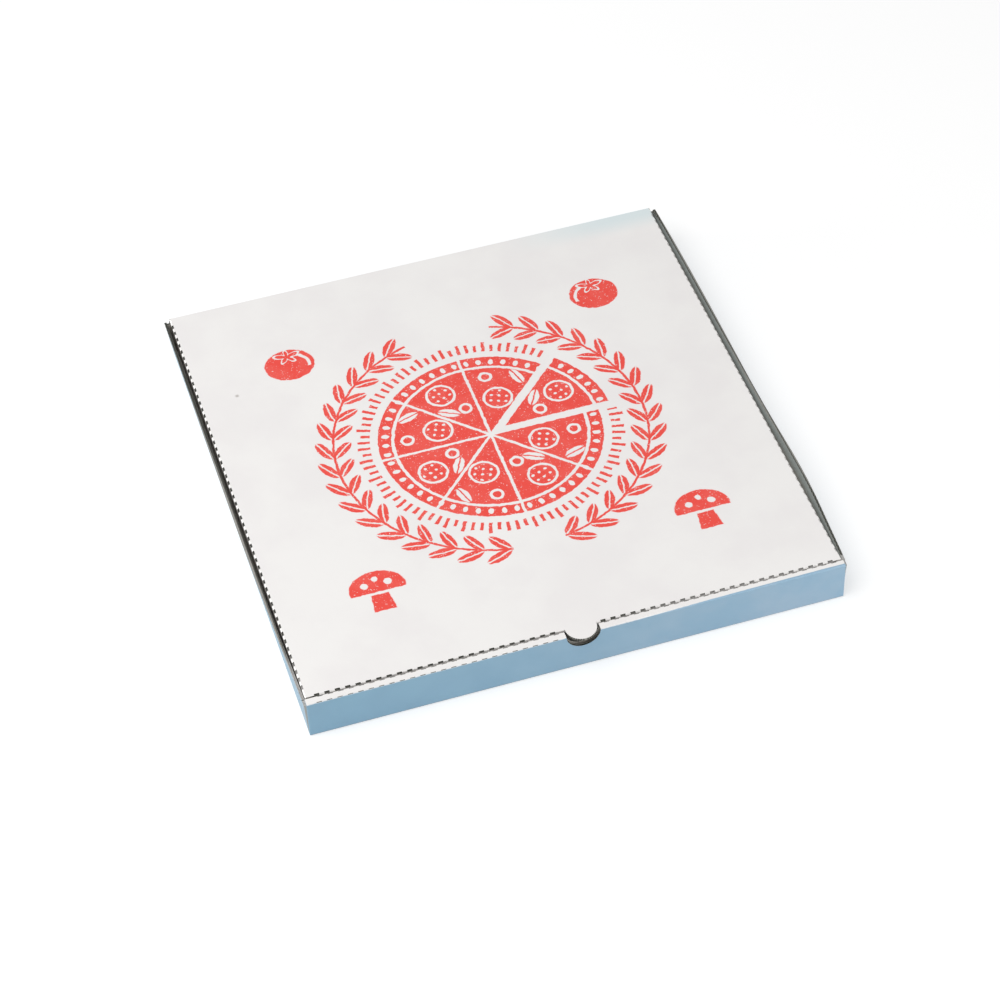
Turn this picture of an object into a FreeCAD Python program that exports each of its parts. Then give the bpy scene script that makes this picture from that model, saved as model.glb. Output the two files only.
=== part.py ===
import FreeCAD, Part
import math
import os

# A flat carry-out box folded from one die-cut sheet of thin corrugated board.
# The tray and the lid are the two halves of that sheet, hinged at the top of the back wall.
# X runs across the box, Y from the front wall to the hinge, Z up. The origin is the middle
# of the bottom panel's underside. All sizes are millimetres.

# Board and fits
board = 1.6               # thickness of the board
layer_gap = 0.1           # between layers that are folded against each other
fold_radius = 0.8         # outer radius of a plain fold
tie_bevel = 0.7           # how far a tie of a perforated fold is flattened across its corner
hinge_gap = 0.3           # between the back wall's top and the lid's underside
front_gap = 0.4           # between the front roll-over and the lid's front fold
side_gap = 0.3            # how far the bottom panel reaches past the lid on each side
lock_gap = 0.2            # around each locking tab in its slot

# Overall form
lid_width = 320.0         # between the lid's two side folds
lid_depth = 328.0         # from the lid's front fold to its hinge fold
box_height = 26.8         # from the floor to the lid's top face
side_drop = 0.8           # how far the side walls' cut edges lie under the lid's top face

# The side walls' cut top edges lean and bow outwards. Each pair is a share of the wall's
# length, counted from the front, and how far the top edge stands out past the bottom fold.
left_bow = ((0.0, 1.5), (0.12, 2.5), (0.3, 3.5), (0.65, 3.6), (1.0, 3.4))
right_bow = ((0.0, 1.5), (0.1, 3.4), (0.22, 5.3), (0.38, 4.2), (0.65, 4.1), (1.0, 3.0))

# Corner tabs, folded in from the ends of the side walls
corner_tab_length = 62.0
corner_tab_slope = 9.0    # how much shorter a corner tab is at its lower edge

# Locks that hold the front roll-over down in the bottom panel
lock_width = 38.0
lock_spacing = 170.0      # between the middles of the two locks

# Lid flaps, tucked into the tray
front_flap_height = 23.6  # from the lid's top face to the flap's lower edge
front_flap_lean = 2.0     # how far its lower edge leans back into the box
front_flap_inset = 2.6    # from the lid's side fold to the end of the flap at its fold
side_flap_height = 22.6
side_flap_lean = 2.0
side_flap_front = 7.0     # from the lid's front fold to the side flap's front end
side_flap_rear = 9.0      # from the hinge to the side flap's rear end
flap_slope = 6.0          # how much each flap end slopes in towards its lower edge

# Thumb tab on the lid, and the round notch in the tray's front
tab_offset = 1.5          # from the middle of the box to the middle of the tab, towards +X
tab_radius = 9.3          # of the half-round tab, about a point on the lid's front fold
hole_radius = 11.5        # of the half-round hole in the front flap, wider than the tab for a fingertip
press_depth = 0.5         # how far the lid's front fold is pressed in, left of the tab
press_start = -150.0      # the X where that begins
press_full = -120.0       # the X from which it has its whole depth
notch_radius = 10.2       # of the half-round notches in the tray's two front walls
notch_margin = 1.5        # plain board kept on each side of the notch before the first cut

# Perforated folds: short cuts through the board with ties between them
cut_length = 3.0
tie_length = 3.0
cut_opening = 1.1         # how far a cut stands open on the outside of a closed fold
front_opening = 0.5       # the same at the front wall's top fold, which is pressed flatter
plain_end = 5.0           # unbroken fold at each end of a perforated line
roll_shift = 1.5          # how far the roll-over's inner cuts are set along from the lid's
front_open_end = -10.0    # the cuts of the front wall's top fold stand open only left of this X

# Worked out from the sizes above
tray_width = lid_width + 2 * side_gap
strip_depth = 3 * board + 2 * layer_gap
tray_depth = strip_depth + front_gap + lid_depth
front_y = -tray_depth / 2
hinge_y = tray_depth / 2
roll_y = front_y + strip_depth
lid_front_y = roll_y + front_gap
wall_top = box_height - side_drop
under_strip = box_height - board - layer_gap
under_lid = box_height - board - hinge_gap
wall_front_y = front_y + board + layer_gap
wall_rear_y = hinge_y - board - layer_gap
beyond = 2 * board        # how far a cutting shape runs past what it cuts


def block(x0, x1, y0, y1, z0, z1):
    """A rectangular solid between two corners."""
    corner = FreeCAD.Vector(min(x0, x1), min(y0, y1), min(z0, z1))
    return Part.makeBox(abs(x1 - x0), abs(y1 - y0), abs(z1 - z0), corner)


def place_on(axis, start):
    """How a flat point (a, b) lies in space in a plane that faces along X, Y or Z."""
    if axis == "x":
        return lambda a, b: FreeCAD.Vector(start, a, b)
    if axis == "y":
        return lambda a, b: FreeCAD.Vector(a, start, b)
    return lambda a, b: FreeCAD.Vector(a, b, start)


def drawn_out(edges, axis, length):
    """The solid that a closed flat outline leaves when it is moved along X, Y or Z."""
    ways = {"x": (length, 0, 0), "y": (0, length, 0), "z": (0, 0, length)}
    return Part.Face(Part.Wire(edges)).extrude(FreeCAD.Vector(*ways[axis]))


def prism(points, axis, start, end):
    """A solid with a polygon as its section."""
    place = place_on(axis, start)
    corners = [place(a, b) for a, b in points]
    ring = corners[1:] + corners[:1]
    edges = [Part.makeLine(p, q) for p, q in zip(corners, ring)]
    return drawn_out(edges, axis, end - start)


def unit(a, b):
    """The direction from a to b, and the distance."""
    length = math.hypot(b[0] - a[0], b[1] - a[1])
    return ((b[0] - a[0]) / length, (b[1] - a[1]) / length), length


def inner_path(path, side):
    """The other face of the board: the path moved in by its thickness, with square corners."""
    normals = []
    for a, b in zip(path, path[1:]):
        way, _ = unit(a, b)
        normals.append((side * way[1], -side * way[0]))
    firsts = [normals[0]] + normals
    seconds = normals + [normals[-1]]
    points = []
    for point, one, two in zip(path, firsts, seconds):
        share = board / (1 + one[0] * two[0] + one[1] * two[1])
        points.append((point[0] + share * (one[0] + two[0]), point[1] + share * (one[1] + two[1])))
    return points


def outer_edges(path, perforated, place):
    """Edges along a path whose plain corners are arcs. The corners that are perforated, given
    by their numbers along the path, are bevelled."""
    edges = []
    start = path[0]
    for number, corner in enumerate(path[1:-1], 1):
        back, _ = unit(corner, path[number - 1])
        on, _ = unit(corner, path[number + 1])
        half = math.acos(back[0] * on[0] + back[1] * on[1]) / 2
        cut = number in perforated
        reach = tie_bevel if cut else fold_radius / math.tan(half)
        enter = (corner[0] + reach * back[0], corner[1] + reach * back[1])
        leave = (corner[0] + reach * on[0], corner[1] + reach * on[1])
        edges.append(Part.makeLine(place(*start), place(*enter)))
        if cut:
            edges.append(Part.makeLine(place(*enter), place(*leave)))
        else:
            middle, _ = unit((0, 0), (back[0] + on[0], back[1] + on[1]))
            sink = fold_radius / math.sin(half) - fold_radius
            top = (corner[0] + sink * middle[0], corner[1] + sink * middle[1])
            edges.append(Part.Arc(place(*enter), place(*top), place(*leave)).toShape())
        start = leave
    edges.append(Part.makeLine(place(*start), place(*path[-1])))
    return edges


def folded_sheet(path, perforated, side, axis, start, end):
    """Board folded along a path that is its outer face. side is 1 where the board lies to
    the right of the path, and -1 where it lies to the left."""
    place = place_on(axis, start)
    back = inner_path(path, side)[::-1]
    edges = outer_edges(path, perforated, place)
    edges.append(Part.makeLine(place(*path[-1]), place(*back[0])))
    for a, b in zip(back, back[1:]):
        edges.append(Part.makeLine(place(*a), place(*b)))
    edges.append(Part.makeLine(place(*back[-1]), place(*path[0])))
    return drawn_out(edges, axis, end - start)


def cut_starts(low, high, shift=0.0):
    """Where the cuts of a perforated line begin, spread evenly about its middle."""
    period = cut_length + tie_length
    count = int((high - low - 2 * plain_end + tie_length) / period)
    first = (low + high) / 2 - (count * period - tie_length) / 2 + shift
    return [first + number * period for number in range(count)]


def cuts_across(corner_y, opening, shift=0.0, open_end=lid_width / 2):
    """Open cuts along a fold that runs across the box at the lid's height, clear of the notch
    and no further right than open_end."""
    keep = notch_radius + notch_margin
    cuts = []
    for x in cut_starts(-lid_width / 2, lid_width / 2, shift):
        by_notch = x < tab_offset + keep and x + cut_length > tab_offset - keep
        if by_notch or x + cut_length > open_end:
            continue
        cuts.append(block(x, x + cut_length, corner_y - opening, corner_y + opening,
                          box_height - opening, box_height + opening))
    return Part.makeCompound(cuts)


def cuts_along(corner_x):
    """Open cuts along one of the lid's side folds."""
    cuts = []
    for y in cut_starts(lid_front_y, hinge_y):
        cuts.append(block(corner_x - cut_opening, corner_x + cut_opening, y, y + cut_length,
                          box_height - cut_opening, box_height + cut_opening))
    return Part.makeCompound(cuts)


def notch_cutter(radius, y0, y1):
    """A round bar along Y, level with the lid's top face, that cuts a half-round notch."""
    start = FreeCAD.Vector(tab_offset, y0, box_height)
    return Part.makeCylinder(radius, y1 - y0, start, FreeCAD.Vector(0, 1, 0))


def bow_edge(side, bow, inward):
    """The line of a side wall's cut top edge, outer or inner."""
    length = wall_rear_y - wall_front_y
    points = []
    for share, out in bow:
        x = side * (tray_width / 2 + out - inward)
        points.append(FreeCAD.Vector(x, wall_front_y + share * length, wall_top))
    curve = Part.BSplineCurve()
    curve.interpolate(points)
    return curve.toShape()


def side_wall(side, bow):
    """A single wall, straight at its bottom fold and bowed at its cut top edge."""
    outer_x = side * tray_width / 2
    inner_x = outer_x - side * board
    foot = [FreeCAD.Vector(x, y, 0) for x, y in (
        (outer_x, wall_front_y), (outer_x, wall_rear_y), (inner_x, wall_rear_y), (inner_x, wall_front_y))]
    outer_top = bow_edge(side, bow, 0.0)
    inner_top = bow_edge(side, bow, board)
    top = [outer_top.Vertexes[0].Point, outer_top.Vertexes[-1].Point,
           inner_top.Vertexes[-1].Point, inner_top.Vertexes[0].Point]
    feet = [Part.makeLine(p, q) for p, q in zip(foot, foot[1:] + foot[:1])]
    tops = [outer_top, Part.makeLine(top[1], top[2]), inner_top, Part.makeLine(top[3], top[0])]
    posts = [Part.makeLine(p, q) for p, q in zip(foot, top)]
    faces = [Part.Face(Part.Wire(feet)), Part.Face(Part.Wire(tops))]
    faces.append(Part.makeRuledSurface(feet[0], tops[0]))
    faces.append(Part.Face(Part.Wire([feet[1], posts[2], tops[1], posts[1]])))
    faces.append(Part.makeRuledSurface(Part.makeLine(foot[3], foot[2]), inner_top))
    faces.append(Part.Face(Part.Wire([feet[3], posts[0], tops[3], posts[3]])))
    shell = Part.Shell(faces)
    shell.sewShape()
    wall = Part.Solid(shell)
    wall.fix(0.001, 0.001, 0.001)
    if wall.Volume < 0:
        wall.reverse()
    return wall


def corner_tab(side, lean, y0, top):
    """A tab folded in from a side wall's end, standing on edge along X."""
    low = board + layer_gap
    root = tray_width / 2

    def wall_x(z):
        return root + lean * z / wall_top

    points = [
        (side * wall_x(low), low),
        (side * wall_x(top), top),
        (side * (root - corner_tab_length), top),
        (side * (root - corner_tab_length + corner_tab_slope), low)]
    return prism(points, "y", y0, y0 + board)


def edge_rounder(side):
    """What a side wall's bottom fold loses at its outer corner, as a bar along Y."""
    x = side * tray_width / 2
    square = block(x - side * fold_radius, x + side * beyond, front_y - beyond, hinge_y + beyond,
                   -beyond, fold_radius)
    core = Part.makeCylinder(fold_radius, tray_depth + 4 * beyond,
                             FreeCAD.Vector(x - side * fold_radius, front_y - 2 * beyond, fold_radius),
                             FreeCAD.Vector(0, 1, 0))
    inner = block(x - side * fold_radius, x - side * 2 * fold_radius, front_y - beyond, hinge_y + beyond,
                  -beyond, fold_radius)
    return square.cut(core).cut(inner)


def make_tray():
    """Bottom, front roll-over, back wall, side walls and their corner tabs."""
    half = tray_width / 2
    path = [
        (hinge_y, under_lid),
        (hinge_y, 0.0),
        (front_y, 0.0),
        (front_y, box_height),
        (roll_y, box_height),
        (roll_y, board + layer_gap)]
    tray = folded_sheet(path, (3, 4), 1, "x", -half, half)

    # The roll-over's inner wall stops short of the side walls.
    for side in (-1, 1):
        tray = tray.cut(block(side * (half - board - side_gap), side * (half + beyond),
                              wall_front_y, roll_y + layer_gap, board + layer_gap / 2, box_height - board))

    walls = [side_wall(-1, left_bow), side_wall(1, right_bow)]
    for number, side in enumerate((-1, 1)):
        clear = block(side * (half - 2 * board), side * (half + 4 * beyond),
                      wall_front_y - beyond, roll_y + layer_gap, under_strip, box_height)
        walls[number] = walls[number].cut(clear)
    tray = tray.fuse(walls)

    rear_tab_y = wall_rear_y - board
    tabs = []
    for side, bow in ((-1, left_bow), (1, right_bow)):
        tabs.append(corner_tab(side, bow[0][1], wall_front_y, under_strip))
        tabs.append(corner_tab(side, bow[-1][1], rear_tab_y, under_lid))
    tray = tray.fuse(tabs)
    for side in (-1, 1):
        tray = tray.cut(edge_rounder(side))

    # Two locks on the roll-over's lower edge stand in slots in the bottom panel.
    for x in (-lock_spacing / 2, lock_spacing / 2):
        x0 = x - lock_width / 2
        x1 = x + lock_width / 2
        tray = tray.cut(block(x0 - lock_gap, x1 + lock_gap, roll_y - board - lock_gap, roll_y + lock_gap,
                              -beyond, board + layer_gap / 2))
        tray = tray.fuse(block(x0, x1, roll_y - board, roll_y, lock_gap, 2 * board + layer_gap))

    tray = tray.cut(notch_cutter(notch_radius, front_y - beyond, roll_y + beyond))
    tray = tray.cut(cuts_across(front_y, front_opening, open_end=front_open_end))
    tray = tray.cut(cuts_across(roll_y, cut_opening, roll_shift))
    return tray.removeSplitter()


def lid_side(side):
    """The lid's border and flap on one side, folded down at a perforated line."""
    edge = side * lid_width / 2
    border = edge - side * 4 * board
    path = [
        (border, box_height),
        (edge, box_height),
        (edge - side * side_flap_lean, box_height - side_flap_height)]
    piece = folded_sheet(path, (1,), side, "y", lid_front_y, hinge_y)
    low = box_height - side_flap_height
    fold = box_height - board
    front = lid_front_y + side_flap_front
    rear = hinge_y - side_flap_rear
    front_waste = [
        (lid_front_y - beyond, fold), (front, fold),
        (front + flap_slope, low - beyond), (lid_front_y - beyond, low - beyond)]
    rear_waste = [
        (hinge_y + beyond, fold), (rear, fold),
        (rear - flap_slope, low - beyond), (hinge_y + beyond, low - beyond)]
    for waste in (front_waste, rear_waste):
        piece = piece.cut(prism(waste, "x", -lid_width, lid_width))
    return piece


def make_lid():
    """Top panel with its front and side flaps and the thumb tab."""
    half = lid_width / 2
    path = [
        (hinge_y, box_height),
        (lid_front_y, box_height),
        (lid_front_y + front_flap_lean, box_height - front_flap_height)]
    lid = folded_sheet(path, (1,), -1, "x", -half + 2 * board, half - 2 * board)
    low = box_height - front_flap_height
    fold = box_height - board
    for side in (-1, 1):
        end = side * (half - front_flap_inset)
        waste = [
            (side * half, fold), (end, fold),
            (end - side * flap_slope, low - beyond), (side * half, low - beyond)]
        lid = lid.cut(prism(waste, "y", lid_front_y - beyond, lid_front_y + front_flap_lean + beyond))
    lid = lid.fuse([lid_side(-1), lid_side(1)])

    # Left of the tab the front fold is pressed in a little, which leaves a wider dark gap.
    tab_left = tab_offset - tab_radius
    pressed = [
        (press_start, lid_front_y), (press_full, lid_front_y + press_depth),
        (tab_left, lid_front_y + press_depth), (tab_left, lid_front_y - beyond),
        (press_start, lid_front_y - beyond)]
    lid = lid.cut(prism(pressed, "z", low - beyond, box_height + beyond))

    # The tab is cut out of the front flap and stays level with the lid.
    flap_rear = lid_front_y + front_flap_lean + beyond
    below = block(-half, half, lid_front_y - beyond, flap_rear, low, fold)
    lid = lid.cut(notch_cutter(hole_radius, lid_front_y - beyond, flap_rear).common(below))
    lid = lid.cut(notch_cutter(tab_radius, lid_front_y - beyond, flap_rear))
    middle = FreeCAD.Vector(tab_offset, lid_front_y, fold)
    root = block(tab_left, tab_offset + tab_radius, lid_front_y, flap_rear, fold, box_height)
    lid = lid.fuse([Part.makeCylinder(tab_radius, board, middle), root])

    lid = lid.cut(cuts_across(lid_front_y, cut_opening))
    for side in (-1, 1):
        lid = lid.cut(cuts_along(side * half))
    return lid.removeSplitter()


def save(shape, name):
    """Writes one sub-part, which has to be a single sound solid."""
    solids = shape.Solids
    print(name, "solids", len(solids), "valid", shape.isValid(), "volume", round(shape.Volume, 1),
          "faces", len(shape.Faces))
    if len(solids) != 1 or not shape.isValid():
        raise ValueError(name + " is not one sound solid")
    solids[0].exportStep("parts/" + name + ".step")


os.makedirs("parts", exist_ok=True)
save(make_tray(), "tray")
save(make_lid(), "lid")
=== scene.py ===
import math

import bmesh
import bpy
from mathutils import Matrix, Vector

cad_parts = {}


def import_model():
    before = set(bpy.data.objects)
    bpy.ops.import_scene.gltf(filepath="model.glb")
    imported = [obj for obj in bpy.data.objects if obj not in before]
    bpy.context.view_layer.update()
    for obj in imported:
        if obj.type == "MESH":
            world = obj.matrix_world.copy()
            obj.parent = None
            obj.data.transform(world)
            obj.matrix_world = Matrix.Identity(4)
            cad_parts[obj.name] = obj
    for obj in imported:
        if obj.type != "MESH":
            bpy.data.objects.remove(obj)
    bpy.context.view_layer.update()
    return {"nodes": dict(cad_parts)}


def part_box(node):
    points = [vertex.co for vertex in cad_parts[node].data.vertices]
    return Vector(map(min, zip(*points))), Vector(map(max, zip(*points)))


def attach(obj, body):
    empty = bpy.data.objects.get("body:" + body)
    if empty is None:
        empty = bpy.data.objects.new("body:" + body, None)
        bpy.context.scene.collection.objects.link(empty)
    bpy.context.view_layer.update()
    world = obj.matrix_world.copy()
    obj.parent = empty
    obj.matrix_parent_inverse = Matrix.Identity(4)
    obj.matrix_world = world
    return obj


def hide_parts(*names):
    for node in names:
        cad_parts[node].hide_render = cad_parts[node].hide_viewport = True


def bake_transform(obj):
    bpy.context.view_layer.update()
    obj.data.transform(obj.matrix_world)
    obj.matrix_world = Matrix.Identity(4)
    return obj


# The looks of a folded carry-out box: two half sheets of thin corrugated board, white liner
# outside, grey liner inside, raw fluted edges, a one-colour print on the lid and painted blue
# shade on the tray's outer walls. Object sizes are millimetres, and MM turns them to metres.

MM = 0.001
FULL_TURN = 2 * math.pi

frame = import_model()

# Board
BOARD = 1.6                  # thickness
FLUTE_PITCH = 3.2            # from one wave of the inner paper to the next
LAYER_GAP = 0.1              # between layers that are folded against each other
FRONT_GAP = 0.4              # between the roll-over strip and the lid's front fold
HINGE_GAP = 0.3              # between the back wall's top and the lid's underside

# Places that come from the frame
tray_low, tray_high = (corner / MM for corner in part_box("tray"))
_, lid_high = (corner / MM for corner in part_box("lid"))
TOP = lid_high.z
FRONT_Y = tray_low.y
HINGE_Y = tray_high.y
LID_HALF = 160.0             # half the distance between the lid's side folds
ROLL_Y = FRONT_Y + 3 * BOARD + 2 * LAYER_GAP    # the inner face of the double front wall
LID_FRONT_Y = ROLL_Y + FRONT_GAP
UNDER_LID = TOP - BOARD - HINGE_GAP
BACK_LAYERS_Y = HINGE_Y - 2 * BOARD - 1         # just before the back wall and its corner tabs
TAB_X = 1.5                  # the middle of the thumb tab
TAB_RADIUS = 9.3
NOTCH_RADIUS = 10.2


def linear(red, green, blue):
    """A colour from the photograph's 0 to 255 scale as the shader's own numbers."""
    shares = [value / 255 for value in (red, green, blue)]
    return tuple(s / 12.92 if s <= 0.04045 else ((s + 0.055) / 1.055) ** 2.4 for s in shares) + (1.0,)


class Value:
    """A shader socket that Python's operators work on. Each operation adds a Math node."""

    def __init__(self, finish, socket):
        self.finish = finish
        self.socket = socket

    def math(self, operation, *values):
        return self.finish.add("ShaderNodeMath", {"operation": operation}, dict(enumerate(values)))

    def __add__(self, other):
        return self.math("ADD", self, other)

    __radd__ = __add__

    def __sub__(self, other):
        return self.math("SUBTRACT", self, other)

    def __rsub__(self, other):
        return self.math("SUBTRACT", other, self)

    def __mul__(self, other):
        return self.math("MULTIPLY", self, other)

    __rmul__ = __mul__

    def __truediv__(self, other):
        return self.math("DIVIDE", self, other)

    def __rtruediv__(self, other):
        return self.math("DIVIDE", other, self)

    def __pow__(self, other):
        return self.math("POWER", self, other)

    def __mod__(self, other):
        return self.math("FLOORED_MODULO", self, other)

    def __lt__(self, other):
        return self.math("LESS_THAN", self, other)

    def __abs__(self):
        return self.math("ABSOLUTE", self)

    def __neg__(self):
        return self.math("MULTIPLY", self, -1.0)

    def least(self, other):
        return self.math("MINIMUM", self, other)

    def most(self, other):
        return self.math("MAXIMUM", self, other)

    def sine(self):
        return self.math("SINE", self)

    def cosine(self):
        return self.math("COSINE", self)

    def floor(self):
        return self.math("FLOOR", self)

    def angle_from(self, other):
        """The angle whose sine side is this value and whose cosine side is the other."""
        return self.math("ARCTAN2", self, other)


class Finish:
    """A node material, with its Principled shader and the object's place in millimetres."""

    def __init__(self, name):
        self.material = bpy.data.materials.new(name)
        self.material.use_nodes = True
        self.nodes = self.material.node_tree.nodes
        self.links = self.material.node_tree.links
        self.shader = self.nodes["Principled BSDF"]
        metres = self.add("ShaderNodeTexCoord", output="Object")
        self.place = self.add("ShaderNodeVectorMath", {"operation": "SCALE"}, {0: metres, "Scale": 1 / MM})
        self.x, self.y, self.z = self.parts(self.place)

    def add(self, kind, settings=None, inputs=None, output=0):
        """A node of any kind. Its settings are set first, then its sockets are set or linked."""
        node = self.nodes.new(kind)
        for name, value in (settings or {}).items():
            setattr(node, name, value)
        for key, value in (inputs or {}).items():
            self.give(node.inputs[key], value)
        return Value(self, node.outputs[output])

    def give(self, socket, value):
        if isinstance(value, Value):
            self.links.new(value.socket, socket)
        else:
            socket.default_value = value

    def parts(self, vector):
        split = self.add("ShaderNodeSeparateXYZ", None, {0: vector})
        return [Value(self, socket) for socket in split.socket.node.outputs]

    def noise(self, size, detail=2.0, roughness=0.5, output="Fac"):
        """Noise whose blobs are about the given size in millimetres."""
        inputs = {"Vector": self.place, "Scale": 1 / size, "Detail": detail, "Roughness": roughness}
        return self.add("ShaderNodeTexNoise", None, inputs, output)

    def ramp(self, value, low, high):
        """0 below low and 1 above high, with a smooth step between. low may be above high."""
        if low > high:
            return 1.0 - self.ramp(value, high, low)
        settings = {"interpolation_type": "SMOOTHSTEP"}
        inputs = {"Value": value, "From Min": low, "From Max": high}
        return self.add("ShaderNodeMapRange", settings, inputs)

    def mix(self, share, one, two):
        """A colour that goes from one to two as share goes from 0 to 1. The Mix node's sockets
        6 and 7 are its two colours."""
        settings = {"data_type": "RGBA"}
        return self.add("ShaderNodeMix", settings, {"Factor": share, 6: one, 7: two}, output=2)

    def shade(self, color, roughness, height, depth, specular=0.4):
        """Sends the finished colour, roughness and relief to the shader. depth is in mm."""
        self.give(self.shader.inputs["Base Color"], color)
        self.give(self.shader.inputs["Roughness"], roughness)
        self.shader.inputs["Specular IOR Level"].default_value = specular
        inputs = {"Height": height, "Distance": depth * MM, "Strength": 1.0}
        self.give(self.shader.inputs["Normal"], self.add("ShaderNodeBump", None, inputs))
        return self.material


# Colours
LINER_WHITE = linear(243, 241, 239)
LINER_SHADE = linear(239, 236, 235)
# painted cool reflection for the lid's back right corner
LINER_COOL_REFLECTION = linear(216, 231, 234)
INK_RED = linear(240, 78, 68)
INK_THIN = linear(243, 100, 90)
# Painted blue shade on the tray's outer walls: darker at the left end, lighter at the right end, the side
# walls' own painted shade, and a deeper tone at random
PAINTED_SHADE_BLUE = linear(142, 183, 207)
PAINTED_SHADE_BLUE_RIGHT = linear(159, 185, 205)
PAINTED_SHADE_BLUE_SIDE = linear(146, 174, 192)
PAINTED_SHADE_BLUE_DEEP = linear(138, 176, 201)
INNER_GREY = linear(204, 201, 194)
INNER_DARK = linear(184, 178, 168)
FLECK = linear(120, 108, 94)
# painted shade for the inside of the right wall under the lid
PAINTED_SHADE_GREY = linear(122, 139, 140)
PAPER_BROWN = linear(104, 106, 98)
# painted shade: the hollows of the cut board, and the gaps at its left cuts and right rim
PAINTED_SHADE_DARK = linear(48, 52, 48)

# How deep the relief of each surface is
LINER_RELIEF = 0.03
INNER_RELIEF = 0.06
RAW_RELIEF = 0.25


def paper_relief(finish):
    """Fine fibres, and the faint washboard of the waves under the liner, which run along X."""
    fibres = finish.noise(0.5, 3.0, 0.6)
    waves = (finish.y * (FULL_TURN / FLUTE_PITCH)).sine()
    return fibres * 0.5 + waves * 0.16


def white_liner(finish):
    """The colour and roughness of the coated white paper."""
    clouds = finish.noise(42.0, 3.0, 0.55)
    color = finish.mix(finish.ramp(clouds, 0.35, 0.7), LINER_WHITE, LINER_SHADE)
    roughness = 0.42 + finish.noise(7.0, 2.0) * 0.16
    return color, roughness


# The print: a round pie of eight slices in a wreath, with an icon towards each corner of the lid
PRINT_X = 0.0
PRINT_Y = 2.0
INK_EDGE = 0.25                      # how softly the ink ends
HAND_WOBBLE = 1.5                    # how far the hand-cut edges stray
FAR_OUT = 100.0                      # a distance that is outside every shape

PIE_RADIUS = 68.0
CRUST = 8.0
CRUST_LINE = 2.0                     # the white line between the crust and the sauce
SLICE = math.radians(45.0)
CUT_HALF = 0.9                       # half the width of the white line of a cut
PULLED_SLICE = math.radians(22.5)    # the direction in which one slice is pulled out
PULL = 9.0
BUBBLES = 52                         # white bubbles all round the crust
BUBBLE_OUT = 0.55                    # the share of the crust outside the bubbles' middles
BUBBLE_HALF = (1.7, 2.3)             # half a bubble, round the crust and across it

# The toppings' middles, along and across a slice: on even slices, then on odd ones
SALAMI = ((46.0, 1.5), (32.0, -1.5))
OLIVE = ((27.5, -3.0), (49.5, 8.0))
BASIL = ((31.0, 7.2), (51.5, -11.4))
SALAMI_RADIUS = 8.6
SALAMI_RIM_HALF = 0.8
SALAMI_DOTS_RADIUS = 7.0             # the dots of fat lie within it
DOT_STEP = 4.6
DOT_RADIUS = 0.95
DOT_SHIFT = (0.5, 2.8)
OLIVE_RADIUS = 3.5                   # the middle of its ring
OLIVE_RING_HALF = 0.9
BASIL_TURN = 0.7
BASIL_HALF = (6.8, 3.2)
BASIL_VEIN_HALF = 0.5

RAY_START = 73.0
RAY_END = 80.0
RAY_COUNT = 92
RAY_HALF = 0.2                       # half of a ray's width, as a share of the step between rays
RAY_UNEVEN = 1.6                     # how much longer or shorter a ray may be
RAY_SHUFFLE = 2.4                    # the angle that makes each ray's length differ from the next
RAY_CLEAR = 0.03                     # the angle kept free of rays on each side of the pulled slice

WREATH_RADIUS = 95.0
WREATH_STEPS = 17                    # it ends after these steps on each side, the first one free
LEAF_STEP = math.radians(9.6)
LEAF_OUT = 5.4                       # from the stem to a leaf's middle
LEAF_TILT = math.radians(36.0)
LEAF_HALF = (8.2, 3.3)
LEAF_VEIN_HALF = 0.45
STEM_HALF = 0.8

ICON_OUT = 99.0                      # from the print's middle to each icon, along X and along Y
ICON_SCALE = 1.35


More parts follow.
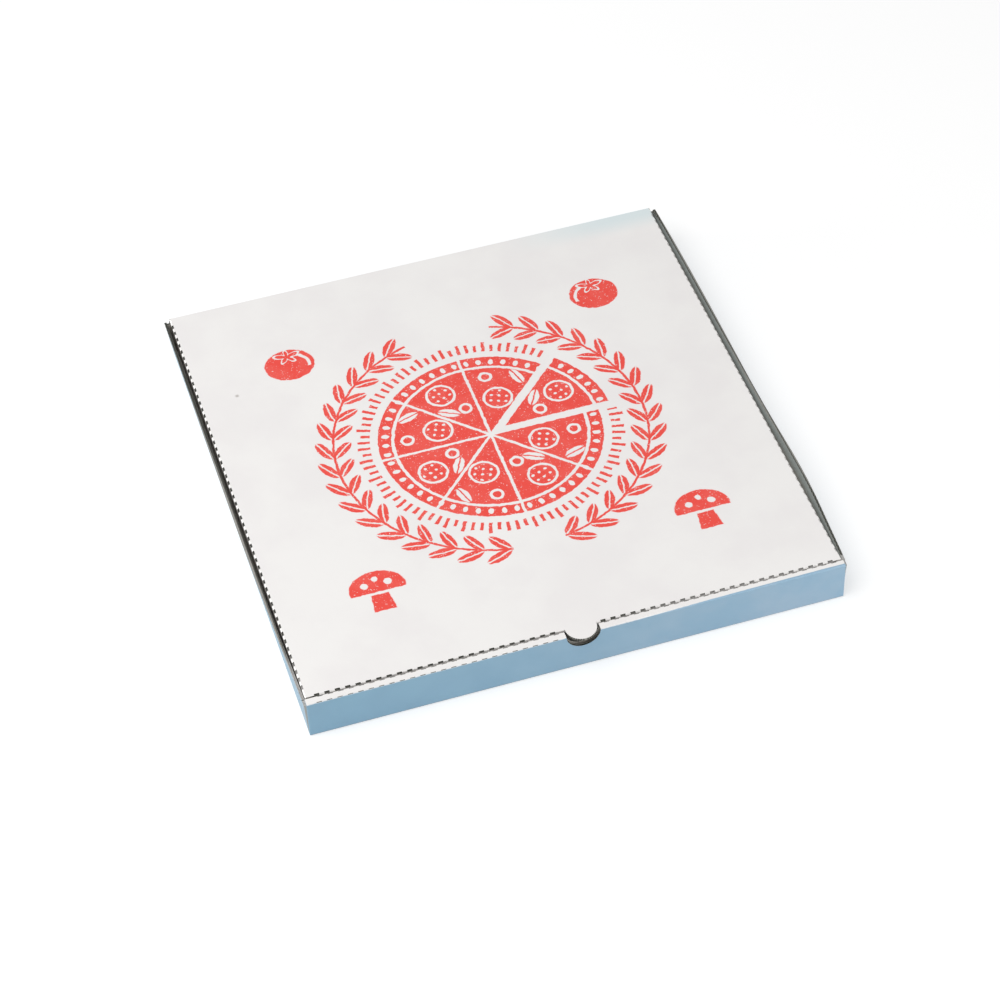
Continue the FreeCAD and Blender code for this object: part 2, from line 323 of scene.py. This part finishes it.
class Print:
    """The print's shapes. Each gives the distance outside it in millimetres, negative inside."""

    def __init__(self, finish):
        self.finish = finish
        wobble = finish.parts(finish.noise(3.2, 2.0, 0.55, output="Color"))
        self.x = finish.x - PRINT_X + (wobble[0] - 0.5) * HAND_WOBBLE
        self.y = finish.y - PRINT_Y + (wobble[1] - 0.5) * HAND_WOBBLE
        self.radius = self.length(self.x, self.y)
        self.angle = self.y.angle_from(self.x)

    def ink(self, distance):
        """1 inside a shape and 0 outside it."""
        return self.finish.ramp(distance, INK_EDGE, -INK_EDGE)

    def length(self, x, y):
        return (x * x + y * y) ** 0.5

    def disc(self, x, y, radius):
        return self.length(x, y) - radius

    def oval(self, x, y, half_length, half_width):
        return self.disc(x / half_length, y / half_width, 1.0) * half_width

    def band(self, value, middle, half):
        """A stripe where value is within half of middle."""
        return abs(value - middle) - half

    def from_step(self, value, step):
        """How far value is from the middle of its step, in a row of equal steps."""
        return value % step - step / 2

    def turned(self, x, y, angle):
        c = math.cos(angle)
        s = math.sin(angle)
        return x * c + y * s, y * c - x * s

    def from_topping(self, along, across, middles, odd):
        """How far along and across a slice a place is from a topping's middle."""
        (even_along, even_across), (odd_along, odd_across) = middles
        x = along - (even_along + (odd_along - even_along) * odd)
        y = across - (even_across + (odd_across - even_across) * odd)
        return x, y

    def slice_top(self, along, across, odd):
        """One slice's sauce with its toppings left white. Every second slice has them elsewhere."""
        x, y = self.from_topping(along, across, SALAMI, odd)
        rim = self.band(self.length(x, y), SALAMI_RADIUS, SALAMI_RIM_HALF)
        dot_x = self.from_step(x + DOT_SHIFT[0], DOT_STEP)
        dot_y = self.from_step(y + DOT_SHIFT[1], DOT_STEP)
        dots = self.disc(dot_x, dot_y, DOT_RADIUS).most(self.disc(x, y, SALAMI_DOTS_RADIUS))
        olive_radius = self.length(*self.from_topping(along, across, OLIVE, odd))
        olive = self.band(olive_radius, OLIVE_RADIUS, OLIVE_RING_HALF)
        leaf_x, leaf_y = self.turned(*self.from_topping(along, across, BASIL, odd), BASIL_TURN)
        leaf = self.oval(leaf_x, leaf_y, *BASIL_HALF).most(BASIL_VEIN_HALF - abs(leaf_y))
        return -rim.least(dots).least(olive).least(leaf)

    def pie(self):
        """Eight cut slices with their crust and toppings. One slice is pulled out."""
        shift_x = PULL * math.cos(PULLED_SLICE)
        shift_y = PULL * math.sin(PULLED_SLICE)
        out_angle = (self.y - shift_y).angle_from(self.x - shift_x)
        pulled = abs(out_angle - PULLED_SLICE) < SLICE / 2
        x = self.x - pulled * shift_x
        y = self.y - pulled * shift_y
        radius = self.length(x, y)
        angle = y.angle_from(x)
        empty = (abs(angle - PULLED_SLICE) < SLICE / 2) * (1.0 - pulled)

        odd = (angle / SLICE).floor() % 2.0
        inner = self.from_step(angle, SLICE)
        from_cut = radius * (SLICE / 2 - abs(inner)).sine()
        topped = self.slice_top(radius * inner.cosine(), radius * inner.sine(), odd)
        topped = topped.most(radius - PIE_RADIUS + CRUST + CRUST_LINE)

        crust = self.band(radius, PIE_RADIUS - CRUST / 2, CRUST / 2)
        round_crust = self.from_step(angle, FULL_TURN / BUBBLES) * PIE_RADIUS
        bubbles = self.oval(round_crust, radius - PIE_RADIUS + CRUST * BUBBLE_OUT, *BUBBLE_HALF)
        shape = crust.most(-bubbles).least(topped).most(CUT_HALF - from_cut)
        return shape.most(empty * (2 * FAR_OUT) - FAR_OUT)

    def rays(self):
        """Short strokes all round the pie, each a little longer or shorter than the next."""
        step = self.angle * (RAY_COUNT / FULL_TURN)
        uneven = (step.floor() * RAY_SHUFFLE).sine() * RAY_UNEVEN
        across = (abs(self.from_step(step, 1.0)) - RAY_HALF) * (FULL_TURN * RAY_END / RAY_COUNT)
        stroke = across.most(RAY_START - self.radius).most(self.radius - RAY_END - uneven)
        near_slice = abs(self.angle - PULLED_SLICE) < SLICE / 2 + RAY_CLEAR
        return stroke + near_slice * (2 * FAR_OUT)

    def wreath(self):
        """Two rows of leaves along a thin stem, from the front round both sides to the back."""
        angle = abs(self.x).angle_from(-self.y)
        along = self.from_step(angle, LEAF_STEP) * WREATH_RADIUS
        off = abs(self.radius - WREATH_RADIUS)
        leaf_x, leaf_y = self.turned(along, off - LEAF_OUT, LEAF_TILT)
        leaves = self.oval(leaf_x, leaf_y, *LEAF_HALF).most(LEAF_VEIN_HALF - abs(leaf_y))
        ends = (LEAF_STEP - angle).most(angle - WREATH_STEPS * LEAF_STEP) * WREATH_RADIUS
        return leaves.least(off - STEM_HALF).most(ends)

    def mushroom(self, x, y):
        """A cut mushroom: a spotted cap over a short stem, with a white line between."""
        cap_y = 1.0
        cap_half = (12.5, 10.0)
        cap_foot = -1.0
        side_spot_x = 5.2
        side_spot_y = 3.6
        side_spot_radius = 1.7
        top_spot_y = 6.6
        top_spot_radius = 1.4
        stem_half = 3.6
        stem_flare = 0.12            # how much its half width grows for each millimetre down
        stem_top = -2.4
        stem_foot = -12.0
        cap = self.oval(x, y - cap_y, *cap_half).most(cap_foot - y)
        spots = self.disc(abs(x) - side_spot_x, y - side_spot_y, side_spot_radius)
        spots = spots.least(self.disc(x, y - top_spot_y, top_spot_radius))
        stem = (abs(x) - stem_half + y * stem_flare).most(y - stem_top).most(stem_foot - y)
        return cap.most(-spots).least(stem)

    def tomato(self, x, y):
        """A round tomato with a five-pointed crown and a gleam."""
        fruit_half = (11.5, 10.0)
        gleam_x = -1.5
        gleam_y = -1.0
        gleam_radius = 7.4
        gleam_half = 0.7
        gleam_end = -3.0             # it shows left of this X and above this Y
        crown_y = 5.6
        crown_radius = 4.2
        crown_point = 2.1            # how far a point reaches past that radius
        crown_points = 5.0
        crown_flat = 1.5
        crown_line = 0.8             # the white line round it
        crown_inset = 0.5            # how much smaller the inked crown is
        fruit = self.oval(x, y, *fruit_half)
        gleam = self.band(self.length(x - gleam_x, y - gleam_y), gleam_radius, gleam_half)
        gleam = gleam.most(x - gleam_end).most(gleam_end - y)
        top_y = y - crown_y
        petals = (x.angle_from(top_y) * crown_points).cosine() * crown_point + crown_radius
        crown = self.length(x, top_y * crown_flat) - petals
        return fruit.most(-gleam).most(crown_line - crown).least(crown + crown_inset)

    def icons(self):
        """Tomatoes towards the back corners and mushrooms towards the front ones."""
        x = (abs(self.x) - ICON_OUT) / ICON_SCALE
        back = (self.y - ICON_OUT) / ICON_SCALE
        front = (self.y + ICON_OUT) / ICON_SCALE
        return self.tomato(x, back).least(self.mushroom(x, front))

    def all(self):
        return self.pie().least(self.rays()).least(self.wreath()).least(self.icons())


# Ink, a speck and a painted cool reflection on the lid. Each pair is where one starts and where it is
# full.
PRINTED_Z = (TOP - 0.3, TOP - 0.1)   # the ink is on the top face only
SPECK_X = -136.5                     # a small grey speck near the lid's left edge
SPECK_Y = 85.0
SPECK_EDGE = (1.8, 0.3)              # its radius, where it starts and where it is full
COOL_REFLECTION_X = (50.0, 135.0)               # a faint painted cool reflection in the back right corner
COOL_REFLECTION_Y = (HINGE_Y - 20, HINGE_Y - 3)


def lid_liner():
    """White coated paper with the red print, which is a little starved and speckled, a small
    grey speck, and a faint painted cool reflection in the back right corner."""
    finish = Finish("lid_liner")
    color, roughness = white_liner(finish)
    design = Print(finish)
    ink = design.ink(design.all()) * finish.ramp(finish.z, *PRINTED_Z)
    starved = finish.ramp(finish.noise(1.1, 3.0, 0.6), 0.63, 0.68)
    patches = finish.ramp(finish.noise(11.0, 2.0, 0.5), 0.42, 0.62)
    ink = ink * (1.0 - starved * 0.75)
    red = finish.mix(patches * 0.45, INK_RED, INK_THIN)
    speck = finish.ramp(design.length(finish.x - SPECK_X, finish.y - SPECK_Y), *SPECK_EDGE)
    # painted cool reflection in the back right corner
    cool_reflection = finish.ramp(finish.x, *COOL_REFLECTION_X) * finish.ramp(finish.y, *COOL_REFLECTION_Y)
    color = finish.mix(cool_reflection * 0.75, color, LINER_COOL_REFLECTION)
    color = finish.mix(speck * 0.5, color, FLECK)
    color = finish.mix(ink, color, red)
    return finish.shade(color, roughness + ink * 0.06, paper_relief(finish), LINER_RELIEF)


# The painted blue shade on the tray's outer walls. Each pair is where it starts and where it is full.
SHADE_RAGGED = 0.5                   # how far its upper edge strays
SHADE_TOP_Z = (TOP - 0.1, TOP - 0.6)
SHADE_FOOT_Z = (0.0, 0.2)
SHADE_FACE_Y = (FRONT_Y + 0.3, FRONT_Y)
SHADE_FRONT_WALL_Y = (ROLL_Y - 1.0, ROLL_Y - 2.0)
SHADE_BACK_WALL_Y = (HINGE_Y - 2.5, HINGE_Y - 1.0)
SHADE_SIDE_WALLS_X = (LID_HALF - 0.5, LID_HALF + 0.2)
CLIMB_X = (-20.0, LID_HALF)          # over this stretch it climbs over the front fold
CLIMB_LEFT = -0.3                    # how far over the fold it reaches on the left: not at all
CLIMB = 1.8                          # how much further it reaches on the right
SIDE_SHADE_TONE_X = (LID_HALF - 0.2, LID_HALF + 0.2)      # the side walls' painted shade, in a blue of its own
SIDE_SHADE_TONE_Y = (FRONT_Y + 0.1, FRONT_Y + 1)


def tray_liner():
    """The same paper. The tray's outer walls carry painted blue shade up to the top fold, lighter
    towards the right and in another blue on the side walls, and towards the right of the front
    wall it climbs a little over that fold."""
    finish = Finish("tray_liner")
    color, roughness = white_liner(finish)
    ragged = finish.noise(2.6, 2.0) * SHADE_RAGGED
    below_top = finish.ramp(finish.z + ragged, *SHADE_TOP_Z)
    climb = finish.ramp(finish.x, *CLIMB_X) * CLIMB + CLIMB_LEFT
    over_fold = finish.ramp(finish.y + ragged * 0.5 - climb, *SHADE_FACE_Y)
    off_bottom = finish.ramp(finish.z, *SHADE_FOOT_Z)
    outside = finish.ramp(finish.y, *SHADE_FRONT_WALL_Y).most(finish.ramp(finish.y, *SHADE_BACK_WALL_Y))
    outside = outside.most(finish.ramp(abs(finish.x), *SHADE_SIDE_WALLS_X))
    painted_shade = below_top.most(over_fold) * off_bottom * outside
    # painted blue shade: lighter towards the right, a deeper tone at random, another blue on the side
    # walls
    tone = finish.ramp(finish.noise(26.0, 3.0), 0.35, 0.7)
    blue = finish.mix(finish.ramp(finish.x, -LID_HALF, LID_HALF), PAINTED_SHADE_BLUE, PAINTED_SHADE_BLUE_RIGHT)
    blue = finish.mix(tone * 0.6, blue, PAINTED_SHADE_BLUE_DEEP)
    side = finish.ramp(abs(finish.x), *SIDE_SHADE_TONE_X) * finish.ramp(finish.y, *SIDE_SHADE_TONE_Y)
    blue = finish.mix(side, blue, PAINTED_SHADE_BLUE_SIDE)
    color = finish.mix(painted_shade, color, blue)
    return finish.shade(color, roughness + 0.06 * painted_shade, paper_relief(finish), LINER_RELIEF)


# Where painted shade starts on the right wall's inside under the lid, and where it is full
WALL_SHADE_X = (LID_HALF, LID_HALF + 0.6)
WALL_SHADE_Z = (TOP - 9, TOP - 3)


def inner_liner():
    """Uncoated grey recycled paper with flecks, and painted shade near the top of the right wall."""
    finish = Finish("inner_liner")
    clouds = finish.ramp(finish.noise(30.0, 3.0, 0.5), 0.3, 0.75)
    fibres = finish.noise(1.6, 4.0, 0.65)
    color = finish.mix(clouds * 0.22 + fibres * 0.3, INNER_GREY, INNER_DARK)
    flecks = finish.ramp(finish.noise(1.4, 2.0, 0.7), 0.7, 0.76)
    color = finish.mix(flecks * 0.55, color, FLECK)
    # painted shade near the top of the right wall's inside
    wall_shade = finish.ramp(finish.x, *WALL_SHADE_X) * finish.ramp(finish.z, *WALL_SHADE_Z)
    color = finish.mix(wall_shade * 0.62, color, PAINTED_SHADE_GREY)
    roughness = 0.78 + finish.noise(5.0) * 0.12
    return finish.shade(color, roughness, paper_relief(finish), INNER_RELIEF, specular=0.25)


# The cut board, as shares of its thickness
WAVE_HALF = 0.3                      # how far the inner paper swings
WAVE_PAPER = (0.2, 0.1)              # it fades in over these distances from its middle
SKIN_START = (0.33, 0.38)            # the liners start this far from the board's middle

# Painted shade and painted light on the cut board. Each pair is where it starts and where it is full.
LEFT_CUTS = (5 - LID_HALF, 2 - LID_HALF)
LEFT_SHADE_Y = (-150.0, -60.0)        # the left cuts get more and more painted shade over this stretch
LEFT_LIT_Y = (-115.0, -150.0)      # and are painted lighter again over this one, at their front end
RIGHT_RIM = (LID_HALF - 1, LID_HALF + 1)
RIGHT_CUTS = (LID_HALF - 3, LID_HALF - 2)
RIGHT_CUTS_END = (LID_HALF + 0.3, LID_HALF + 0.1)
FRONT_CUTS_LIT_X = (10.0, 70.0)           # the front fold's cuts are painted lighter over this stretch, against the shade in them
FRONT_CUTS_LIT_Y = (LID_FRONT_Y + 4, LID_FRONT_Y + 3)


def raw_edge():
    """The cut board: two liners, the wavy paper between them, and painted shade in the hollows. Its
    map holds the place along the waves in metres, and the share of the thickness from 0 to 1.
    The left cuts and the right rim get painted shade, lighter again at the left cuts' front end.
    The right cuts and the right half of the front fold's cuts are painted lighter, against the shade in
    them."""
    finish = Finish("raw_edge")
    along, across, _ = finish.parts(finish.add("ShaderNodeUVMap", {"uv_map": "board"}))
    wave = (along * (FULL_TURN / (FLUTE_PITCH * MM))).sine() * WAVE_HALF + 0.5
    flute = finish.ramp(abs(across - wave), *WAVE_PAPER)
    skins = finish.ramp(abs(across - 0.5), *SKIN_START)
    paper = flute.most(skins)
    brown = finish.mix(finish.noise(2.0, 3.0) * 0.5, PAPER_BROWN, INNER_DARK)
    # the hollows between the waves get painted shade
    color = finish.mix(paper, PAINTED_SHADE_DARK, brown)
    color = finish.mix(skins * finish.noise(0.9, 2.0) * 0.3, color, LINER_SHADE)
    # painted shade on the left cuts, growing towards the back, and a little on the right rim
    left_cuts = finish.ramp(finish.x, *LEFT_CUTS)
    left_shade = left_cuts * finish.ramp(finish.y, *LEFT_SHADE_Y) * finish.ramp(across, 0.1, 0.6)
    right_rim_shade = finish.ramp(finish.x, *RIGHT_RIM)
    color = finish.mix(left_shade * 0.7 + right_rim_shade * 0.2, color, PAINTED_SHADE_DARK)
    # painted light: the left cuts' front end is made lighter
    left_front_lit = left_cuts * finish.ramp(finish.y, *LEFT_LIT_Y)
    color = finish.mix(left_front_lit * 0.4, color, LINER_SHADE)
    # painted light on the front fold's cuts towards the right, against the shade in them
    front_cuts_lit = finish.ramp(finish.x, *FRONT_CUTS_LIT_X) * finish.ramp(finish.y, *FRONT_CUTS_LIT_Y)
    color = finish.mix(front_cuts_lit * 0.45, color, LINER_SHADE)
    # painted light on the right cuts, against the shade in them
    right_cuts_lit = finish.ramp(finish.x, *RIGHT_CUTS) * finish.ramp(finish.x, *RIGHT_CUTS_END)
    color = finish.mix(right_cuts_lit * 0.85, color, LINER_SHADE)
    return finish.shade(color, 0.85, paper, RAW_RELIEF, specular=0.2)


# How the faces of a CAD node are told apart
OUTSIDE, INSIDE, RAW = range(3)
NARROW = 1.75                # a face no wider than this is a raw edge or part of a fold
FACING = 0.9                 # a face looks along an axis when this much of its normal does
ON_PLANE = 0.1               # a face this close to a plane lies on it
FOLD_SLANT = 0.15            # a fold's faces look up or down, and sideways, by at least this
TOP_FOLD = 1.2               # how far under the top a fold's faces reach
FLOOR_FOLD = 1.0             # how far over the floor a fold's faces reach
ROUND_STRAY = 0.6            # how far a round cut's faces lie off its radius
BESIDE_WALL = 8.0            # flaps and corner tabs lie this close to the wall that they run along
WALL_START = 1.0             # a side wall's faces are clear of the roll-over by this
BOWED_OUT = 0.5              # or they are bowed out past the lid's side fold by this
UNDER_TOP = 0.5              # and clear of the top panel by this
EDGE_ON = 0.1                # a face runs along an axis when less than this of its normal does
UPWARDS = 0.7                # a rim's face looks up or down by at least this
TOLERANCE = 0.01             # what counts as the same height
LEAST_SPAN = 0.2             # no raw edge counts as thinner than this
BOWED_SPAN = 1.5 * BOARD     # a raw edge that reaches further than this is bowed
OPPOSITE = 0.6 * BOARD       # corners further apart than this lie on opposite sides of the board


def face_width(face):
    """The width of a long face in millimetres: its area over its longest reach."""
    corners = [vert.co for vert in face.verts]
    low = Vector(min(corner[axis] for corner in corners) for axis in range(3))
    high = Vector(max(corner[axis] for corner in corners) for axis in range(3))
    return face.calc_area() / (high - low).length / MM


def is_fold(middle, normal):
    """Whether a narrow face is part of the round or bevelled outside of a fold."""
    sideways = math.hypot(normal.x, normal.y)
    slanting = abs(normal.z) > FOLD_SLANT and sideways > FOLD_SLANT
    near_top = middle.z > TOP - TOP_FOLD and normal.z > 0
    near_floor = middle.z < FLOOR_FOLD and normal.z < 0
    return slanting and (near_top or near_floor)


def outward(middle, normal):
    """Whether a face looks away from the middle of the box."""
    half_height = TOP / 2
    return middle.x * normal.x + middle.y * normal.y + (middle.z - half_height) * normal.z > 0


def on_round_cut(middle, normal, radius, along):
    """Whether a face is the cut wall of the round notch, hole or tab whose axis runs along Y or Z."""
    across = Vector((middle.x - TAB_X, middle.z - TOP if along == "y" else middle.y - LID_FRONT_Y))
    flat = abs(normal.y if along == "y" else normal.z)
    return flat < EDGE_ON and abs(across.length - radius) < ROUND_STRAY


def on_side_wall(middle, normal):
    """Whether a face looks sideways on a side wall or side flap, clear of cut ends and folds."""
    sideways = abs(normal.x) > FACING and abs(middle.x) > LID_HALF - BESIDE_WALL
    from_front = middle.y > ROLL_Y + WALL_START or abs(middle.x) > LID_HALF + BOWED_OUT
    from_back = middle.y < BACK_LAYERS_Y
    return sideways and from_front and from_back and FLOOR_FOLD < middle.z < TOP - BOARD - UNDER_TOP


def is_cut(middle, normal, width):
    """Whether a face is a straight cut of the board: narrow, and neither a fold nor a wall."""
    return width < NARROW and not is_fold(middle, normal) and not on_side_wall(middle, normal)


def lid_side_of(middle, normal, width):
    """Which side of the sheet a face of the lid is."""
    if abs(middle.y - HINGE_Y) < ON_PLANE and normal.y > FACING:
        return OUTSIDE
    if on_round_cut(middle, normal, TAB_RADIUS, "y") or on_round_cut(middle, normal, TAB_RADIUS, "z"):
        return RAW
    if is_cut(middle, normal, width):
        return RAW
    return OUTSIDE if outward(middle, normal) else INSIDE


def tray_side_of(middle, normal, width):
    """Which side of the sheet a face of the tray is. The roll-over's inner wall shows the
    sheet's outside to the inside of the box."""
    if on_round_cut(middle, normal, NOTCH_RADIUS, "y"):
        return RAW
    if FRONT_Y + BOARD < middle.y < ROLL_Y and normal.y < -FACING:
        return INSIDE
    if middle.y < FRONT_Y + BOARD and abs(normal.x) > FACING and abs(middle.x) > LID_HALF:
        return OUTSIDE
    if is_cut(middle, normal, width):
        return RAW
    if abs(middle.y - ROLL_Y) < ON_PLANE and normal.y > FACING:
        return OUTSIDE
    return OUTSIDE if outward(middle, normal) else INSIDE


def thickness_way(middle, normal):
    """The direction across the board at a raw edge, and the direction across its waves."""
    along_x, along_y, along_z = Vector((1, 0, 0)), Vector((0, 1, 0)), Vector((0, 0, 1))
    in_lid = middle.z > TOP - BOARD - TOLERANCE and middle.y > FRONT_Y + BOARD
    if abs(normal.z) < UPWARDS and (in_lid or middle.z < BOARD):
        return along_z, along_y
    if middle.y < ROLL_Y + BESIDE_WALL or middle.y > BACK_LAYERS_Y:
        return along_y, along_z
    return along_x, along_y


def shares_across(depths, places):
    """How far across the board each corner of a raw edge lies, from 0 to 1. A bowed edge reaches
    further than the board is thick, so there each corner is set against the nearest one opposite."""
    low = min(depths)
    span = max(max(depths) - low, LEAST_SPAN * MM)
    if span < BOWED_SPAN * MM:
        return [(depth - low) / span for depth in depths]
    corners = list(zip(places, depths))
    shares = []
    for place, depth in corners:
        opposite = min((abs(at - place), far) for at, far in corners if abs(far - depth) > OPPOSITE * MM)
        shares.append(1.0 if depth > opposite[1] else 0.0)
    return shares


# How a CAD node's mesh is cleaned and shaded
SHARP_ANGLE = math.radians(32.0)     # between faces, past which an edge stays sharp
FLAT_ANGLE = math.radians(0.5)       # under which neighbouring faces are joined
MERGE = 0.002                        # loose corners this close are the same one
LARGE_FACES = 100                    # how much large faces set the shading, from 1 to 100


def new_piece(name, bm, finishes):
    """A named object from a bmesh, with the finishes that its faces are numbered for."""
    mesh = bpy.data.meshes.new(name)
    bm.to_mesh(mesh)
    bm.free()
    for finish in finishes:
        mesh.materials.append(finish)
    piece = bpy.data.objects.new(name, mesh)
    bpy.context.scene.collection.objects.link(piece)
    return piece


def board_piece(node, name, side_of, finishes):
    """A copy of a CAD node with its flat faces joined and each face given its finish."""
    bm = bmesh.new()
    bm.from_mesh(frame["nodes"][node].data)
    bmesh.ops.remove_doubles(bm, verts=bm.verts, dist=MERGE * MM)
    bmesh.ops.dissolve_limit(bm, angle_limit=FLAT_ANGLE, verts=bm.verts, edges=bm.edges)
    board_map = bm.loops.layers.uv.new("board")
    for face in bm.faces:
        face.smooth = True
        middle = face.calc_center_median() / MM
        face.material_index = side_of(middle, face.normal, face_width(face))
        if face.material_index == RAW:
            across, along = thickness_way(middle, face.normal)
            depths = [loop.vert.co.dot(across) for loop in face.loops]
            places = [loop.vert.co.dot(along) for loop in face.loops]
            for loop, place, share in zip(face.loops, places, shares_across(depths, places)):
                loop[board_map].uv = (place, share)
    for edge in bm.edges:
        edge.smooth = edge.is_manifold and edge.calc_face_angle() < SHARP_ANGLE
    piece = new_piece(name, bm, finishes)
    even = piece.modifiers.new("even_shading", "WEIGHTED_NORMAL")
    even.keep_sharp = True
    even.weight = LARGE_FACES
    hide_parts(node)
    return piece


# The strip of board at the hinge fold
CREASE_PROUD = 0.03                  # how far it stands out of the back wall
CREASE_LAP = 0.3                     # how far it reaches down behind the back wall's top
CREASE_UNDER_TOP = 0.05              # how far it stays under the lid's top face
CREASE_END = 0.2                     # how much shorter it is than the lid, at each end
CREASE_DEPTH = BOARD - LAYER_GAP + CREASE_PROUD
CREASE_CUTS = 12                     # the rows of edges across its height


def hinge_crease(finishes):
    """The strip of board at the lid's hinge fold, between the back wall and the lid."""
    low = UNDER_LID - CREASE_LAP
    high = TOP - CREASE_UNDER_TOP
    size = Vector((2 * LID_HALF - 2 * CREASE_END, CREASE_DEPTH, high - low))
    middle = Vector((0, HINGE_Y + CREASE_PROUD - CREASE_DEPTH / 2, (low + high) / 2))
    bm = bmesh.new()
    bmesh.ops.create_cube(bm, size=1.0)
    bmesh.ops.scale(bm, verts=bm.verts, vec=size * MM)
    bmesh.ops.translate(bm, verts=bm.verts, vec=middle * MM)
    upright = [edge for edge in bm.edges if abs(edge.verts[0].co.z - edge.verts[1].co.z) > MM]
    bmesh.ops.subdivide_edges(bm, edges=upright, cuts=CREASE_CUTS, use_grid_fill=True)
    for face in bm.faces:
        face.material_index = OUTSIDE if face.normal.y > 0.5 else INSIDE
    piece = new_piece("hinge_crease", bm, finishes)
    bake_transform(piece)
    return piece


# The studio, in metres
FLOOR_HALF = 6.0
FLOOR_DROP = 0.0002                  # how far the floor lies under the box
FLOOR_LIT = (0.78, 0.78, 0.78, 1)    # the floor's grey as it lights the box
FLOOR_SEEN = (0.6, 0.6, 0.6, 1)      # its grey in the picture, where a glow makes it white
FLOOR_GLOW = (0.48, 0.48, 0.48, 1)
BLACK = (0, 0, 0, 1)
WHITE = (1, 1, 1, 1)
SKY_LIGHT = 0.5
SKY_SEEN = 1.0
CAMERA_PLACE = (-0.34496, -1.21302, 1.28238)
CAMERA_TURN = (43.8719, 1.5911, -17.68)         # degrees about X, Y and Z
CAMERA_LENS = 106.6                             # mm, on a sensor 36 mm wide
CAMERA_SENSOR = 36.0
CAMERA_REACH = 20.0


def floor():
    """A plain white floor that shows the box's soft shadow."""
    finish = Finish("floor_white")
    seen = finish.add("ShaderNodeLightPath", output="Is Camera Ray")
    seen = seen.most(finish.add("ShaderNodeLightPath", output="Is Glossy Ray"))
    sockets = finish.shader.inputs
    finish.give(sockets["Base Color"], finish.mix(seen, FLOOR_LIT, FLOOR_SEEN))
    finish.give(sockets["Emission Color"], finish.mix(seen, BLACK, FLOOR_GLOW))
    sockets["Emission Strength"].default_value = 1.0
    sockets["Roughness"].default_value = 0.9
    sockets["Specular IOR Level"].default_value = 0.0
    bm = bmesh.new()
    bmesh.ops.create_grid(bm, x_segments=1, y_segments=1, size=FLOOR_HALF)
    plane = new_piece("floor", bm, [finish.material])
    plane.location.z = -FLOOR_DROP


def world():
    """Even pale light from all round, and plain white where the camera sees past the floor."""
    sky = bpy.data.worlds.new("studio")
    bpy.context.scene.world = sky
    sky.use_nodes = True
    nodes = sky.node_tree.nodes
    links = sky.node_tree.links
    background = nodes["Background"]
    background.inputs["Color"].default_value = WHITE
    path = nodes.new("ShaderNodeLightPath")
    level = nodes.new("ShaderNodeMapRange")
    level.inputs["To Min"].default_value = SKY_LIGHT
    level.inputs["To Max"].default_value = SKY_SEEN
    links.new(path.outputs["Is Camera Ray"], level.inputs["Value"])
    links.new(level.outputs["Result"], background.inputs["Strength"])


def lamp(name, place, aim, size, watts):
    """A square soft lamp that looks from place to aim."""
    light = bpy.data.lights.new(name, "AREA")
    light.size = size
    light.energy = watts
    lit = bpy.data.objects.new(name, light)
    lit.location = place
    lit.rotation_euler = (Vector(aim) - Vector(place)).to_track_quat("-Z", "Y").to_euler()
    bpy.context.scene.collection.objects.link(lit)


def camera():
    """The photograph's camera, found from the box's corners in the picture."""
    lens = bpy.data.cameras.new("camera")
    lens.sensor_width = CAMERA_SENSOR
    lens.lens = CAMERA_LENS
    lens.clip_end = CAMERA_REACH
    eye = bpy.data.objects.new("camera", lens)
    eye.location = CAMERA_PLACE
    eye.rotation_euler = [math.radians(angle) for angle in CAMERA_TURN]
    bpy.context.scene.collection.objects.link(eye)
    bpy.context.scene.camera = eye


inside = inner_liner()
cut = raw_edge()
tray_outside = tray_liner()
tray = board_piece("tray", "tray_board", tray_side_of, (tray_outside, inside, cut))
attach(tray, "tray")
lid = board_piece("lid", "lid_board", lid_side_of, (lid_liner(), inside, cut))
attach(lid, "lid")
hinge_crease((tray_outside, inside))

floor()
world()
lamp("key", place=(-0.9, -0.4, 1.9), aim=(0, 0, 0), size=1.6, watts=25)
lamp("right_fill", place=(0.5, -0.55, 0.06), aim=(0.15, -0.16, 0), size=0.25, watts=1.3)
lamp("left_fill", place=(-1.1, 0.25, 0.06), aim=(-0.16, 0, 0), size=0.5, watts=7.5)
camera()

bpy.context.scene.view_settings.view_transform = "Standard"
